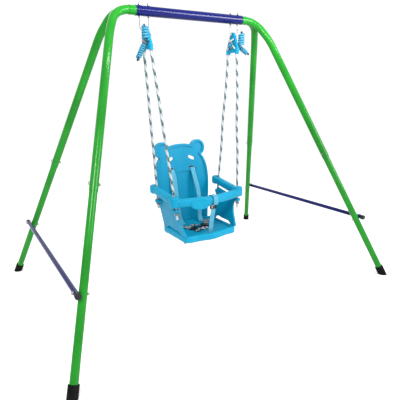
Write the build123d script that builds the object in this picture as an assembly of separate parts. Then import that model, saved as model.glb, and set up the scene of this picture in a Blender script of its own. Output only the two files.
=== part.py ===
from build123d import *
import os
from math import atan2, cos, degrees, radians, sin, tan

# Toddler swing: a tubular A-frame stand with a bear-backed bucket seat on four ropes.
# +X is the child's left to right across the stand, -Y is the way the child faces, +Z is up.
# The origin is on the floor, under the middle of the crossbar. All sizes are in millimetres.

SIDES = {"left": -1, "right": 1}
FACES = {"front": -1, "rear": 1}

# ---- stand ----
BAR_HEIGHT = 1200.0
BAR_HALF_LENGTH = 262.0
BAR_OD = 38.0
BAR_WALL = 1.5
STUB_OD = 34.8
STUB_WALL = 1.2
STUB_INNER_X = 190.0
STUB_OUTER_X = 290.0
UPPER_LEG_OD = 32.0
LEG_WALL = 1.2
LOWER_LEG_OD = 29.2
LEG_TOP_X = 363.0
LEG_TOP_Y = 17.0
LEG_FOOT_X = 788.0
LEG_FOOT_Y = 537.0
LEG_START_X = 268.0
LEG_CORNER_X = 344.0
LEG_SECOND_BEND_Z = 1115.0
LEG_BEND_RADII = [92.0, 300.0]
JOINT_BOLT_Z = 602.0
SEAM_BELOW_BOLT = 25.0
LOWER_LEG_INSERT = 45.0
BRACE_Z = 281.0
BRACE_OD = 19.0
BRACE_WALL = 1.2
BRACE_PAST_LEG = 27.0
BRACE_CAP_LENGTH = 16.0
BRACE_CAP_COVER = 12.0
FOOT_OD = 37.0
FOOT_HEIGHT = 46.0
FOOT_SOLE = 14.0
HOLE_GAP = 0.25
FIT_GAP = 0.05

# ---- M6 hardware ----
BOLT_D = 6.0
BOLT_HEAD_D = 13.0
BOLT_HEAD_HEIGHT = 4.5
NUT_ACROSS_FLATS = 10.0
NUT_HEIGHT = 5.0

# ---- U-bolts and hangers ----
U_BOLT_X = 224.0
U_BOLT_HALF_GAP = 20.0
U_BOLT_CORNER = 12.0
HINGE_Z = 1132.0
U_BOLT_TOP_Z = 1231.0
PLATE_X = 218.0
PLATE_THICKNESS = 10.0
PLATE_EYE_R = 4.0
PLATE_TOP_R = 15.0
SOCKET_HALF_GAP = 32.0
SOCKET_R = 10.0
SOCKET_TOP_Z = 1082.0
SOCKET_BOTTOM_Z = 1056.0
KNOB_R = 8.0
COIL_R = 16.0
COIL_Y = -34.0
COIL_BOTTOM_Z = 1089.0
COIL_TOP_Z = 1143.0
TAIL_R = 12.0
TAIL_TOP = {-1: (-237.0, -14.0, 1080.0), 1: (238.0, -2.0, 1096.0)}
TAIL_BOTTOM = {-1: (-270.0, -17.0, 1021.0), 1: (287.0, -28.0, 1056.0)}

# ---- ropes ----
ROPE_D = 11.0
ROPE_TOP_Z = 1064.0
RAIL_HOLE_D = 13.0
KNOT_D = 21.0
KNOT_HEIGHT = 15.0
ROPE_TAIL = 18.0

# ---- seat, placed so that its centre of mass hangs under the U-bolts ----
SEAT_Y = 24.0
PAN_HALF_WIDTH = 144.0
PAN_REAR_HALF_WIDTH = 148.0
PAN_FRONT_Y = -193.0
PAN_BOW = 7.0
PAN_WAVE = 5.0
PAN_WAVE_X = 74.0
PAN_REAR_Y = 38.0
PAN_BOTTOM_Z = 241.0
PAN_TOP_Z = 272.0
PAN_RIM = 18.0
PAN_RECESS = 8.0
PAN_SKIN = 4.0
BACK_FOOT_Y = 40.0
BACK_FOOT_Z = 245.0
BACK_LEAN = 8.6
BACK_THICKNESS = 22.0
BACK_RIM_DEPTH = 5.0
EAR_X = 101.0
EAR_Z = 627.0
EAR_R = 40.0
SLOT_X = 62.0
SLOT_SIZE = (40.0, 16.0)
SLOT_TILT = 24.0
UPPER_SLOT_Z = 580.0
LOWER_SLOT_Z = 528.0
PANEL_FOOT_X = 139.0
PANEL_TOP_X = 168.0
PANEL_TOP_Z = 418.0
PANEL_THICKNESS = 9.0
LUG_R = 14.0
LUG_HEIGHT = 12.0
FRONT_LUG_Z = 394.0
REAR_LUG_Z = 405.0

# ---- guard rail ----
RAIL_FRONT_ROPE = (174.0, -140.0, 434.0)
RAIL_REAR_ROPE = (178.0, 22.0, 455.0)
RAIL_END = (180.0, 46.0)
RAIL_FRONT_CENTRE_Y = -188.0
RAIL_DEPTH = 34.0
RAIL_HEIGHT = 38.0
RAIL_CORNER_R = 14.0
RAIL_SLOPE = (RAIL_REAR_ROPE[2] - RAIL_FRONT_ROPE[2]) / (RAIL_REAR_ROPE[1] - RAIL_FRONT_ROPE[1])
RAIL_END_KNOB = (21.0, 43.0)
FRONT_BOSS = (25.0, 50.0)

# ---- webbing ----
WEB_WIDTH = 25.0
WEB_THICKNESS = 2.0
CROTCH_X = 3.0
CROTCH_SLOT_Y = -163.0
LAP_X = 98.0
LAP_SLOT_Y = 8.0
SHOULDER_X = 57.0
SOCKET_PLACE = (26.0, -76.0)
SOCKET_TURN = 137.0
PLUG_PLACE = (-46.0, -80.0)
PLUG_TURN = 32.0
SOCKET_SIZE = (44.0, 30.0, 12.0)
PLUG_BASE = (38.0, 12.0, 9.0)


# ------------------------------------------------------------------ helpers
def seat_point(point):
    """A point of the seat's own drawing, moved to where the seat hangs."""
    return Vector(point[0], point[1] + SEAT_Y, point[2])


def rod(start, end, radius):
    """A round bar from one point to another."""
    start = Vector(*start)
    axis = Vector(*end) - start
    return extrude(Plane(origin=start, z_dir=axis) * Circle(radius), axis.length)


def pipe(start, end, outer_d, wall):
    """A straight tube from one point to another."""
    return rod(start, end, outer_d / 2) - rod(start, end, outer_d / 2 - wall)


def box_between(low, high):
    """A box from its lowest corner to its highest."""
    size = [b - a for a, b in zip(low, high)]
    centre = [(a + b) / 2 for a, b in zip(low, high)]
    return Pos(*centre) * Box(*size)


def soften(solid, edges, radius):
    """Round the given edges, or leave the solid sharp where the kernel can't."""
    try:
        return fillet(edges, radius)
    except ValueError:
        return solid


def group(solids):
    """Separate solids that share one node."""
    return Compound(children=list(solids))


def save(name, shape):
    """Write one node."""
    export_step(shape, f"parts/{name}.step")


# ------------------------------------------------------------------ stand
def leg_point(side, face, z):
    """The point of a leg's axis at a height."""
    drop = (BAR_HEIGHT - z) / BAR_HEIGHT
    x = LEG_TOP_X + (LEG_FOOT_X - LEG_TOP_X) * drop
    y = LEG_TOP_Y + (LEG_FOOT_Y - LEG_TOP_Y) * drop
    return Vector(side * x, face * y, z)


def leg_axis(side, face):
    """The unit vector down a leg."""
    return (leg_point(side, face, 0) - leg_point(side, face, BAR_HEIGHT)).normalized()


def bolt_axis(side, face):
    """The outward unit vector square to a leg and closest to the X axis."""
    along = leg_axis(side, face)
    outward = Vector(side, 0, 0)
    return (outward - along * outward.dot(along)).normalized()


def brace_normal(side, face):
    """The outward unit vector square to both a leg and the brace."""
    normal = leg_axis(side, face).cross(Vector(0, 1, 0)).normalized()
    return normal if normal.X * side > 0 else normal * -1


def crossbar():
    bar = pipe((-BAR_HALF_LENGTH, 0, BAR_HEIGHT), (BAR_HALF_LENGTH, 0, BAR_HEIGHT), BAR_OD, BAR_WALL)
    for side in SIDES.values():
        bar -= u_bolt_holes(side)
    return bar


def u_bolt_holes(side):
    """The two vertical holes that a U-bolt passes through."""
    holes = []
    for step in (-1, 1):
        x = side * U_BOLT_X + step * U_BOLT_HALF_GAP
        holes.append(rod((x, 0, BAR_HEIGHT - 30), (x, 0, BAR_HEIGHT + 30), BOLT_D / 2 + HOLE_GAP))
    return holes


def corner_stub(side):
    ends = [(side * x, 0, BAR_HEIGHT) for x in (STUB_INNER_X, STUB_OUTER_X)]
    tube = pipe(*ends, STUB_OD, STUB_WALL)
    return tube - u_bolt_holes(side)


def upper_leg(side, face):
    """A bent tube, mitred along the middle plane against its twin."""
    route = FilletPolyline(
        (side * LEG_START_X, 0, BAR_HEIGHT),
        (side * LEG_CORNER_X, 0, BAR_HEIGHT),
        leg_point(side, face, LEG_SECOND_BEND_Z),
        leg_point(side, face, JOINT_BOLT_Z) + leg_axis(side, face) * SEAM_BELOW_BOLT,
        radius=LEG_BEND_RADII,
    )
    start = Plane(origin=(side * LEG_START_X, 0, BAR_HEIGHT), z_dir=(side, 0, 0))
    ring = Circle(UPPER_LEG_OD / 2) - Circle(UPPER_LEG_OD / 2 - LEG_WALL)
    tube = sweep(start * ring, path=route)
    half_space = box_between((-900, 0, 0), (900, 900, 1300))
    if face < 0:
        half_space = mirror(half_space, Plane.XZ)
    tube = tube & half_space
    return tube - joint_bolt_hole(side, face)


def lower_leg(side, face):
    """A straight tube from inside the upper leg down into the foot cap."""
    along = leg_axis(side, face)
    bolt = leg_point(side, face, JOINT_BOLT_Z)
    top = bolt - along * LOWER_LEG_INSERT
    tube = pipe(top, leg_point(side, face, FOOT_SOLE), LOWER_LEG_OD, LEG_WALL)
    return tube - joint_bolt_hole(side, face) - brace_bolt_hole(side, face)


def joint_bolt_hole(side, face):
    centre = leg_point(side, face, JOINT_BOLT_Z)
    reach = bolt_axis(side, face) * 30
    return rod(centre - reach, centre + reach, BOLT_D / 2 + HOLE_GAP)


def brace_bolt_hole(side, face):
    centre = leg_point(side, face, BRACE_Z)
    reach = brace_normal(side, face) * 60
    return rod(centre - reach, centre + reach, BOLT_D / 2 + HOLE_GAP)


def foot_cap(side, face):
    """A rubber cup on the leg's end, cut flat where it meets the floor."""
    along = leg_axis(side, face)
    floor_point = leg_point(side, face, 0)
    top = floor_point - along * FOOT_HEIGHT
    cup = rod(top, floor_point + along * FOOT_OD, FOOT_OD / 2)
    cup = soften(cup, cup.edges().sort_by(Axis.Z)[-1:], 3)
    cup = cup & box_between((-900, -900, 0), (900, 900, 120))
    socket = rod(top - along * 10, leg_point(side, face, FOOT_SOLE), LOWER_LEG_OD / 2 + FIT_GAP)
    return cup - socket


def brace_axis_point(side, face):
    """Where a brace's axis passes the bolt."""
    reach = LOWER_LEG_OD / 2 + BRACE_OD / 2 + FIT_GAP
    return leg_point(side, face, BRACE_Z) + brace_normal(side, face) * reach


def side_brace(side):
    reach = Vector(0, BRACE_PAST_LEG, 0)
    tube = pipe(brace_axis_point(side, -1) - reach, brace_axis_point(side, 1) + reach, BRACE_OD, BRACE_WALL)
    for face in FACES.values():
        tube -= brace_bolt_hole(side, face)
    return tube


def brace_cap(side, face):
    """A plastic cup over the brace's end."""
    tip = brace_axis_point(side, face) + Vector(0, face * BRACE_PAST_LEG, 0)
    inner = tip - Vector(0, face * BRACE_CAP_COVER, 0)
    outer = inner + Vector(0, face * BRACE_CAP_LENGTH, 0)
    cap = rod(inner, outer, BRACE_OD / 2 + 1.6)
    rim = cap.edges().sort_by(Axis.Y)
    cap = soften(cap, rim[-1:] if face > 0 else rim[:1], 3)
    return cap - rod(inner, tip, BRACE_OD / 2 + FIT_GAP)


def round_head_bolt(tip, seat, direction):
    """A bolt whose domed head sits at seat and whose shank ends at tip."""
    shank = rod(tip, seat, BOLT_D / 2)
    head = rod(seat, seat + direction * BOLT_HEAD_HEIGHT, BOLT_HEAD_D / 2)
    crown = head.faces().sort_by(Axis(seat, direction))[-1]
    head = soften(head, crown.edges(), 3)
    return shank + head


def hex_nut(base, direction):
    """A nut whose lower face is at base, threaded along direction."""
    plane = Plane(origin=base, z_dir=direction)
    nut = extrude(plane * RegularPolygon(NUT_ACROSS_FLATS / 2, 6, major_radius=False), NUT_HEIGHT)
    bore_end = base + direction * (NUT_HEIGHT + 1)
    return nut - rod(base - direction, bore_end, BOLT_D / 2 + FIT_GAP)


def joint_bolts():
    bolts = []
    for side in SIDES.values():
        for face in FACES.values():
            out = bolt_axis(side, face)
            centre = leg_point(side, face, JOINT_BOLT_Z)
            seat = centre + out * (UPPER_LEG_OD / 2 + FIT_GAP)
            tip = centre - out * (UPPER_LEG_OD / 2 + NUT_HEIGHT + 3)
            bolts.append(round_head_bolt(tip, seat, out))
    return group(bolts)


def joint_nuts():
    nuts = []
    for side in SIDES.values():
        for face in FACES.values():
            inward = bolt_axis(side, face) * -1
            base = leg_point(side, face, JOINT_BOLT_Z) + inward * (UPPER_LEG_OD / 2 + FIT_GAP)
            nuts.append(hex_nut(base, inward))
    return group(nuts)


def brace_bolts():
    bolts = []
    for side in SIDES.values():
        for face in FACES.values():
            out = brace_normal(side, face)
            seat = brace_axis_point(side, face) + out * (BRACE_OD / 2 + FIT_GAP)
            tip = leg_point(side, face, BRACE_Z) - out * (LOWER_LEG_OD / 2 + NUT_HEIGHT + 3)
            bolts.append(round_head_bolt(tip, seat, out))
    return group(bolts)


def brace_nuts():
    nuts = []
    for side in SIDES.values():
        for face in FACES.values():
            inward = brace_normal(side, face) * -1
            base = leg_point(side, face, BRACE_Z) + inward * (LOWER_LEG_OD / 2 + FIT_GAP)
            nuts.append(hex_nut(base, inward))
    return group(nuts)


def u_bolt(side):
    """A round bar bent to a U with a short straight bottom, where the hanger turns."""
    low_x = side * U_BOLT_X - U_BOLT_HALF_GAP
    high_x = side * U_BOLT_X + U_BOLT_HALF_GAP
    route = FilletPolyline(
        (low_x, 0, U_BOLT_TOP_Z),
        (low_x, 0, HINGE_Z),
        (high_x, 0, HINGE_Z),
        (high_x, 0, U_BOLT_TOP_Z),
        radius=U_BOLT_CORNER,
    )
    start = Plane(origin=(low_x, 0, U_BOLT_TOP_Z), z_dir=(0, 0, -1))
    return sweep(start * Circle(BOLT_D / 2), path=route)


def u_bolt_nuts():
    """A nut above and a nut below the crossbar on each U-bolt leg."""
    nuts = []
    clear = BAR_OD / 2 + FIT_GAP
    for side in SIDES.values():
        for step in (-1, 1):
            x = side * U_BOLT_X + step * U_BOLT_HALF_GAP
            nuts.append(hex_nut(Vector(x, 0, BAR_HEIGHT + clear), Vector(0, 0, 1)))
            nuts.append(hex_nut(Vector(x, 0, BAR_HEIGHT - clear), Vector(0, 0, -1)))
    return group(nuts)


# ------------------------------------------------------------------ hangers
def hanger_plate(side):
    """A rounded triangle that turns on the U-bolt, with a rope socket at each lower corner."""
    plane = Plane(origin=(side * PLATE_X - PLATE_THICKNESS / 2, 0, 0), x_dir=(0, 1, 0), z_dir=(1, 0, 0))
    corners = [Pos(0, HINGE_Z) * Circle(PLATE_TOP_R)]
    for face in FACES.values():
        corners.append(Pos(face * SOCKET_HALF_GAP, SOCKET_TOP_Z - SOCKET_R) * Circle(SOCKET_R))
    outline = make_face(Wire.make_convex_hull((Sketch() + corners).edges()))
    plate = extrude(plane * outline, PLATE_THICKNESS)
    for face in FACES.values():
        centre = (side * PLATE_X, face * SOCKET_HALF_GAP)
        socket = rod((*centre, SOCKET_BOTTOM_Z), (*centre, SOCKET_TOP_Z), SOCKET_R)
        plate += soften(socket, socket.edges().group_by(Axis.Z)[-1], 4)
    plate -= rod((side * PLATE_X - 20, 0, HINGE_Z), (side * PLATE_X + 20, 0, HINGE_Z), PLATE_EYE_R)
    for face in FACES.values():
        plate -= rope_core(side, face, ROPE_D / 2 + FIT_GAP)
    return plate


def hanger_knob(side):
    """The round nut on the inboard face of a hanger plate."""
    inner = side * (PLATE_X - PLATE_THICKNESS / 2)
    stem = rod((inner, 0, HINGE_Z - 40), (inner - side * 6, 0, HINGE_Z - 40), KNOB_R * 0.6)
    ball = Pos(inner - side * (6 + KNOB_R * 0.6), 0, HINGE_Z - 40) * Sphere(KNOB_R)
    return stem + ball


def upper_coil(side):
    """The outer shape of the cord coil that hangs upright beside the U-bolt."""
    x = side * (PLATE_X + PLATE_THICKNESS / 2 + COIL_R + 1)
    coil = rod((x, COIL_Y, COIL_BOTTOM_Z), (x, COIL_Y, COIL_TOP_Z), COIL_R)
    return soften(coil, coil.edges(), 5)


def tail_coil(side):
    """The outer shape of the cord coil that slants down and outward."""
    coil = rod(TAIL_TOP[side], TAIL_BOTTOM[side], TAIL_R)
    return soften(coil, coil.edges(), 4)


# ------------------------------------------------------------------ ropes
def rope_ends(side, face):
    """The straight line of a rope: inside its socket, and where it passes the guard rail."""
    top = Vector(side * PLATE_X, face * SOCKET_HALF_GAP, ROPE_TOP_Z)
    hole = RAIL_FRONT_ROPE if face < 0 else RAIL_REAR_ROPE
    rail = seat_point((side * hole[0], hole[1], hole[2]))
    return top, rail


def rope_at(side, face, z):
    """The point of a rope's axis at a height."""
    top, rail = rope_ends(side, face)
    return top + (rail - top) * ((top.Z - z) / (top.Z - rail.Z))


def rope_core(side, face, radius):
    """A round bar along the whole of a rope."""
    return rod(rope_at(side, face, ROPE_TOP_Z), rope_at(side, face, rope_end_z(face)), radius)


def lug_z(face):
    return FRONT_LUG_Z if face < 0 else REAR_LUG_Z


def rope_end_z(face):
    """The rope's cut end, just under its knot."""
    return lug_z(face) - LUG_HEIGHT / 2 - KNOT_HEIGHT - ROPE_TAIL


def rope(side, face):
    return rope_core(side, face, ROPE_D / 2)


def rope_knot(side, face):
    """The stopper knot that holds the seat's lug up."""
    top = rope_at(side, face, lug_z(face) - LUG_HEIGHT / 2 - 0.6)
    bottom = rope_at(side, face, lug_z(face) - LUG_HEIGHT / 2 - 0.6 - KNOT_HEIGHT)
    knot = rod(top, bottom, KNOT_D / 2)
    knot = soften(knot, knot.edges(), 5)
    return knot - rope_core(side, face, ROPE_D / 2 + FIT_GAP)


# ------------------------------------------------------------------ seat
def front_wave(half):
    """The pan's front edge: proud in the middle, a little hollow on each side of it."""
    return [(half, 0), (PAN_WAVE_X, PAN_WAVE), (0, -PAN_BOW), (-PAN_WAVE_X, PAN_WAVE), (-half, 0)]


def pan_outline(inset):
    """The pan seen from above: a bowed front edge, rounded corners and a narrower rear."""
    front = PAN_FRONT_Y + inset
    rear = PAN_REAR_Y - inset
    half = PAN_HALF_WIDTH - inset
    rear_half = PAN_REAR_HALF_WIDTH - inset
    edges = Curve() + [
        Line((-rear_half, rear), (rear_half, rear)),
        Line((rear_half, rear), (half, front)),
        Spline(*[(x, front + step) for x, step in front_wave(half)]),
        Line((-half, front), (-rear_half, rear)),
    ]
    face = make_face(edges)
    corners = face.vertices().sort_by(Axis.Y)
    face = fillet(corners[:2], max(34.0 - inset, 8))
    return fillet(face.vertices().sort_by(Axis.Y)[-2:], max(22.0 - inset, 6))


def seat_pan():
    """A moulded tray: thick rounded rim, dished top, hollow ribbed underside."""
    height = PAN_TOP_Z - PAN_BOTTOM_Z
    pan = Pos(0, 0, PAN_BOTTOM_Z) * extrude(pan_outline(0), height)
    pan = soften(pan, pan.edges().group_by(Axis.Z)[-1], 9)
    pan = soften(pan, pan.edges().group_by(Axis.Z)[0], 7)
    pan -= Pos(0, 0, PAN_TOP_Z - PAN_RECESS) * extrude(pan_outline(PAN_RIM), PAN_RECESS + 1)
    hollow_height = height - PAN_RECESS - PAN_SKIN
    pan -= Pos(0, 0, PAN_BOTTOM_Z - 1) * extrude(pan_outline(PAN_RIM), hollow_height + 1)
    rib_top = PAN_BOTTOM_Z + hollow_height
    for x in (-70.0, 0.0, 70.0):
        rib = box_between((x - 2, PAN_FRONT_Y + 6, PAN_BOTTOM_Z + 3), (x + 2, PAN_REAR_Y - 12, rib_top))
        if x:
            pan += rib
    slot_low = (CROTCH_X - 15, CROTCH_SLOT_Y - 2.5, PAN_BOTTOM_Z)
    slot_high = (CROTCH_X + 15, CROTCH_SLOT_Y + 2.5, PAN_TOP_Z)
    pan -= box_between(slot_low, slot_high)
    for side in SIDES.values():
        slot_low = (side * LAP_X - 14, LAP_SLOT_Y - 2, PAN_BOTTOM_Z)
        slot_high = (side * LAP_X + 14, LAP_SLOT_Y + 2, PAN_TOP_Z)
        pan -= box_between(slot_low, slot_high)
    return Pos(0, SEAT_Y, 0) * pan


def back_plane(depth=0.0):
    """The backrest's front face, with its drawing's Y up the lean; depth goes to the rear."""
    lean = radians(BACK_LEAN)
    origin = Vector(0, BACK_FOOT_Y + SEAT_Y, BACK_FOOT_Z)
    front = Vector(0, -cos(lean), sin(lean))
    return Plane(origin=origin - front * depth, x_dir=(1, 0, 0), z_dir=front)


def back_v(z):
    """Height on the backrest's drawing for a real height."""
    return (z - BACK_FOOT_Z) / cos(radians(BACK_LEAN))


def back_outline(inset=0.0):
    """The bear: two round ears on a domed head that widens and then narrows to the pan."""
    right_side = [
        (122 - inset, back_v(EAR_Z - 40)),
        (143 - inset, back_v(545)),
        (150 - inset, back_v(495)),
        (146 - inset, back_v(420)),
        (134 - inset, back_v(330)),
        (124 - inset, inset),
    ]
    left_side = [(-x, y) for x, y in reversed(right_side)]
    crown = back_v(652) - inset
    shoulder = (88.0, back_v(634) - inset)
    edges = Curve() + [
        Spline(*right_side),
        Line(right_side[-1], left_side[0]),
        Spline(*left_side),
        Line(left_side[-1], (-shoulder[0], shoulder[1])),
        ThreePointArc((-shoulder[0], shoulder[1]), (0, crown), shoulder),
        Line(shoulder, right_side[0]),
    ]
    head = make_face(edges)
    for side in SIDES.values():
        head += Pos(side * EAR_X, back_v(EAR_Z)) * Circle(EAR_R - inset)
    return head


def strap_slot(side, z):
    """A slanting slot right through the backrest."""
    place = Pos(side * SLOT_X, back_v(z)) * Rot(0, 0, -side * SLOT_TILT)
    cut = back_plane(BACK_THICKNESS + 2) * place * SlotOverall(*SLOT_SIZE)
    return extrude(cut, BACK_THICKNESS + 4)


def backrest():
    """A shell with a raised rim, a lower middle channel, strap slots and a hollow back."""
    back = extrude(back_plane(BACK_THICKNESS) * back_outline(), BACK_THICKNESS)
    back = soften(back, back.faces().sort_by(Axis.Y)[0].edges(), 4)
    back -= extrude(back_plane(BACK_RIM_DEPTH) * back_outline(11), BACK_RIM_DEPTH + 1)
    channel = RectangleRounded(112, 236, 24)
    channel = back_plane(BACK_RIM_DEPTH + 4) * Pos(0, back_v(398)) * channel
    back -= extrude(channel, 5)
    back -= extrude(back_plane(BACK_THICKNESS + 1) * back_outline(11), BACK_THICKNESS - BACK_RIM_DEPTH - 8)
    for side in SIDES.values():
        for z in (UPPER_SLOT_Z, LOWER_SLOT_Z):
            back -= strap_slot(side, z)
    return back


def panel_plane(side):
    """The outer face of a side panel: drawing X is the real Y, drawing Y goes up the lean."""
    rise = PANEL_TOP_Z - PAN_TOP_Z
    up = Vector(side * (PANEL_TOP_X - PANEL_FOOT_X), 0, rise).normalized()
    across = Vector(0, 1, 0)
    origin = Vector(side * (PANEL_FOOT_X - PANEL_THICKNESS / 2), SEAT_Y, PAN_TOP_Z)
    return Plane(origin=origin, x_dir=across, z_dir=across.cross(up))


def side_panel(side):
    """A leaning arm from the pan's rim to the rail, with a slot at its foot and two rope lugs."""
    outline = Curve() + [
        Line((-180, -4), (-148, -4)),
        Spline((-148, -4), (-126, 11), (-70, 14), (-16, 11), (-8, -4)),
        Line((-8, -4), (24, -4)),
        Spline((24, -4), (18, 60), (11, 110), (10, 158)),
        Spline((10, 158), (-40, 150), (-90, 142), (-120, 135), (-146, 131)),
        Spline((-146, 131), (-134, 112), (-140, 70), (-180, -4)),
    ]
    plane = panel_plane(side)
    direction = side * plane.z_dir.X
    plate = extrude(plane * make_face(outline), PANEL_THICKNESS * (1 if direction > 0 else -1))
    above_rim = box_between((-250, -300, PAN_TOP_Z + FIT_GAP), (250, 300, PAN_TOP_Z + 300))
    plate = plate & above_rim
    for face in FACES.values():
        centre = rope_at(side, face, lug_z(face))
        half = (rope_at(side, face, lug_z(face) - 1) - centre) * (LUG_HEIGHT / 2)
        lug = rod(centre - half, centre + half, LUG_R)
        arm_y = centre.Y - face * 34
        arm = box_between(
            (min(side * 160, side * 176), min(centre.Y, arm_y), lug_z(face) - LUG_HEIGHT / 2),
            (max(side * 160, side * 176), max(centre.Y, arm_y), lug_z(face) + LUG_HEIGHT / 2),
        )
        plate += lug + arm
    for face in FACES.values():
        plate -= rope_core(side, face, ROPE_D / 2 + HOLE_GAP)
    return plate


def seat_screws():
    """Screws up through the pan's rim into the panel feet, and through the pan's rear edge."""
    screws = []
    for side in SIDES.values():
        for y in (-164.0, 8.0):
            foot = seat_point((side * PANEL_FOOT_X, y, PAN_BOTTOM_Z - 3))
            screws.append(rod(foot, foot + Vector(0, 0, 3), 5))
    return group(screws)


# ------------------------------------------------------------------ guard rail
def rail_plane_z(y):
    """Height of the rail's axis at a seat Y."""
    return RAIL_FRONT_ROPE[2] + (y - RAIL_FRONT_ROPE[1]) * RAIL_SLOPE


def rail_route():
    rear_x, rear_y = RAIL_END
    front_x, front_y, _ = RAIL_FRONT_ROPE
    points = [
        (-rear_x, rear_y), (-front_x, front_y - 16), (0, RAIL_FRONT_CENTRE_Y),
        (front_x, front_y - 16), (rear_x, rear_y),
    ]
    return FilletPolyline(*[seat_point((x, y, rail_plane_z(y))) for x, y in points], radius=[34, 260, 34])


def rounded_barrel(bottom, top, radius):
    barrel = rod(bottom, top, radius)
    return soften(barrel, barrel.edges(), 11)


def guard_rail():
    """A U-shaped bar with a barrel at each front rope, a knob at each end and a medallion."""
    route = rail_route()
    start = Plane(origin=route @ 0, x_dir=(1, 0, 0), z_dir=route % 0)
    rail = sweep(start * RectangleRounded(RAIL_DEPTH, RAIL_HEIGHT, RAIL_CORNER_R), path=route)
    for side in SIDES.values():
        radius, height = FRONT_BOSS
        top = rope_at(side, -1, RAIL_FRONT_ROPE[2] + height / 2)
        bottom = rope_at(side, -1, RAIL_FRONT_ROPE[2] - height / 2)
        rail += rounded_barrel(bottom, top, radius)
        radius, height = RAIL_END_KNOB
        end = seat_point((side * RAIL_END[0], RAIL_END[1], rail_plane_z(RAIL_END[1])))
        rail += rounded_barrel(end - Vector(0, 0, height / 2), end + Vector(0, 0, height / 2), radius)
    rail += medallion()
    for side in SIDES.values():
        for face in FACES.values():
            rail -= rope_core(side, face, RAIL_HOLE_D / 2)
    return rail


def medallion():
    """A rounded oval badge that hangs over the front of the bar, left of the strap."""
    angle = atan2(RAIL_FRONT_CENTRE_Y - RAIL_FRONT_ROPE[1] + 16, RAIL_FRONT_ROPE[0])
    normal = Vector(sin(angle), -cos(angle), 0)
    x = -66.0
    y = RAIL_FRONT_CENTRE_Y + abs(x) * tan(abs(angle))
    centre = seat_point((x, y, rail_plane_z(y) - 6))
    plane = Plane(origin=centre + normal * 6, x_dir=(cos(angle), sin(angle), 0), z_dir=normal)
    disc = extrude(plane * Ellipse(50, 29), 16)
    return soften(disc, disc.faces().sort_by(Axis(centre, normal))[-1].edges(), 9)


def crotch_loop():
    """The webbing band round the front of the rail."""
    y = RAIL_FRONT_CENTRE_Y + 4.5
    centre = seat_point((CROTCH_X, y, rail_plane_z(y)))
    plane = Plane(origin=centre - Vector(WEB_WIDTH / 2, 0, 0), x_dir=(0, 1, 0), z_dir=(1, 0, 0))
    outer = RectangleRounded(RAIL_DEPTH + 12, RAIL_HEIGHT + 8, RAIL_CORNER_R + 2)
    inner = RectangleRounded(RAIL_DEPTH + 7, RAIL_HEIGHT + 4, RAIL_CORNER_R)
    return extrude(plane * (outer - inner), WEB_WIDTH)


def crotch_slider():
    """The two-slot buckle under the rail."""
    centre = seat_point((CROTCH_X, RAIL_FRONT_CENTRE_Y + 4.5, rail_plane_z(RAIL_FRONT_CENTRE_Y) - 33))
    frame = Pos(centre) * Box(34, 7, 18)
    frame = soften(frame, frame.edges().filter_by(Axis.Y), 3)
    for step in (-1, 1):
        frame -= Pos(centre) * Pos(0, 0, step * 4.5) * Box(27, 9, 4.5)
    return frame


# ------------------------------------------------------------------ harness
def ribbon(points, x, width=WEB_WIDTH, thickness=WEB_THICKNESS):
    """A flat strap of straight runs in a plane of constant X."""
    line = Polyline(*[(y, z) for y, z in points])
    section = trace(line, line_width=thickness)
    plane = Plane(origin=(x - width / 2, 0, 0), x_dir=(0, 1, 0), z_dir=(1, 0, 0))
    return extrude(plane * section, width)


def crotch_strap():
    """From under the slider down to the slot in the pan."""
    top_y = RAIL_FRONT_CENTRE_Y + 4.5 + SEAT_Y
    top_z = rail_plane_z(RAIL_FRONT_CENTRE_Y) - 43
    low_y = CROTCH_SLOT_Y + SEAT_Y
    points = [(top_y, top_z), (low_y - 3, PAN_TOP_Z + 8), (low_y, PAN_TOP_Z - 6), (low_y, PAN_BOTTOM_Z + 10)]
    return ribbon(points, CROTCH_X)


def crotch_anchor():
    """The bar under the pan that holds the crotch strap."""
    low_y = CROTCH_SLOT_Y + SEAT_Y
    return Pos(CROTCH_X, low_y, PAN_BOTTOM_Z + 6.8) * Box(44, 12, 6)


def shoulder_strap(side):
    """Out of the lower slot, down the channel and forward over the pan."""
    lean = radians(BACK_LEAN)
    points = []
    for z in (LOWER_SLOT_Z - 2, LOWER_SLOT_Z - 40, 330):
        y = BACK_FOOT_Y + SEAT_Y + (z - BACK_FOOT_Z) * tan(lean) - 4
        points.append((y + (7 if z > 500 else 0), z))
    points += [(30 + SEAT_Y, 285), (-8 + SEAT_Y, PAN_TOP_Z - PAN_RECESS + 3)]
    return ribbon(points, side * SHOULDER_X)


def strap_keeper(side):
    """The bar behind the backrest that the shoulder strap is tied round."""
    plane = back_plane(BACK_THICKNESS - 5)
    bar = plane * Pos(side * SLOT_X, back_v(LOWER_SLOT_Z)) * Rot(0, 0, -side * SLOT_TILT) * Box(44, 16, 5)
    return Pos(0, 8, 0) * bar


def lap_strap(side):
    """Out of the pan's rear slot, and flat along the dished top to its half of the buckle."""
    floor = PAN_TOP_Z - PAN_RECESS
    slot_y = LAP_SLOT_Y + SEAT_Y
    bend = Vector(side * LAP_X, slot_y - WEB_WIDTH / 2, floor + 3)
    points = [(slot_y, floor - 10), (slot_y, bend.Z), (bend.Y, bend.Z)]
    end = lap_strap_end(side)
    along = Vector(end.X - bend.X, end.Y - bend.Y, 0)
    run = Pos((bend.X + end.X) / 2, (bend.Y + end.Y) / 2, bend.Z) * Rot(0, 0, heading(along))
    run = run * Box(along.length, WEB_WIDTH, WEB_THICKNESS)
    return ribbon(points, side * LAP_X) + run


def heading(direction):
    """The turn about Z, in degrees, from +X to a level direction."""
    return degrees(atan2(direction.Y, direction.X))


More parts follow.
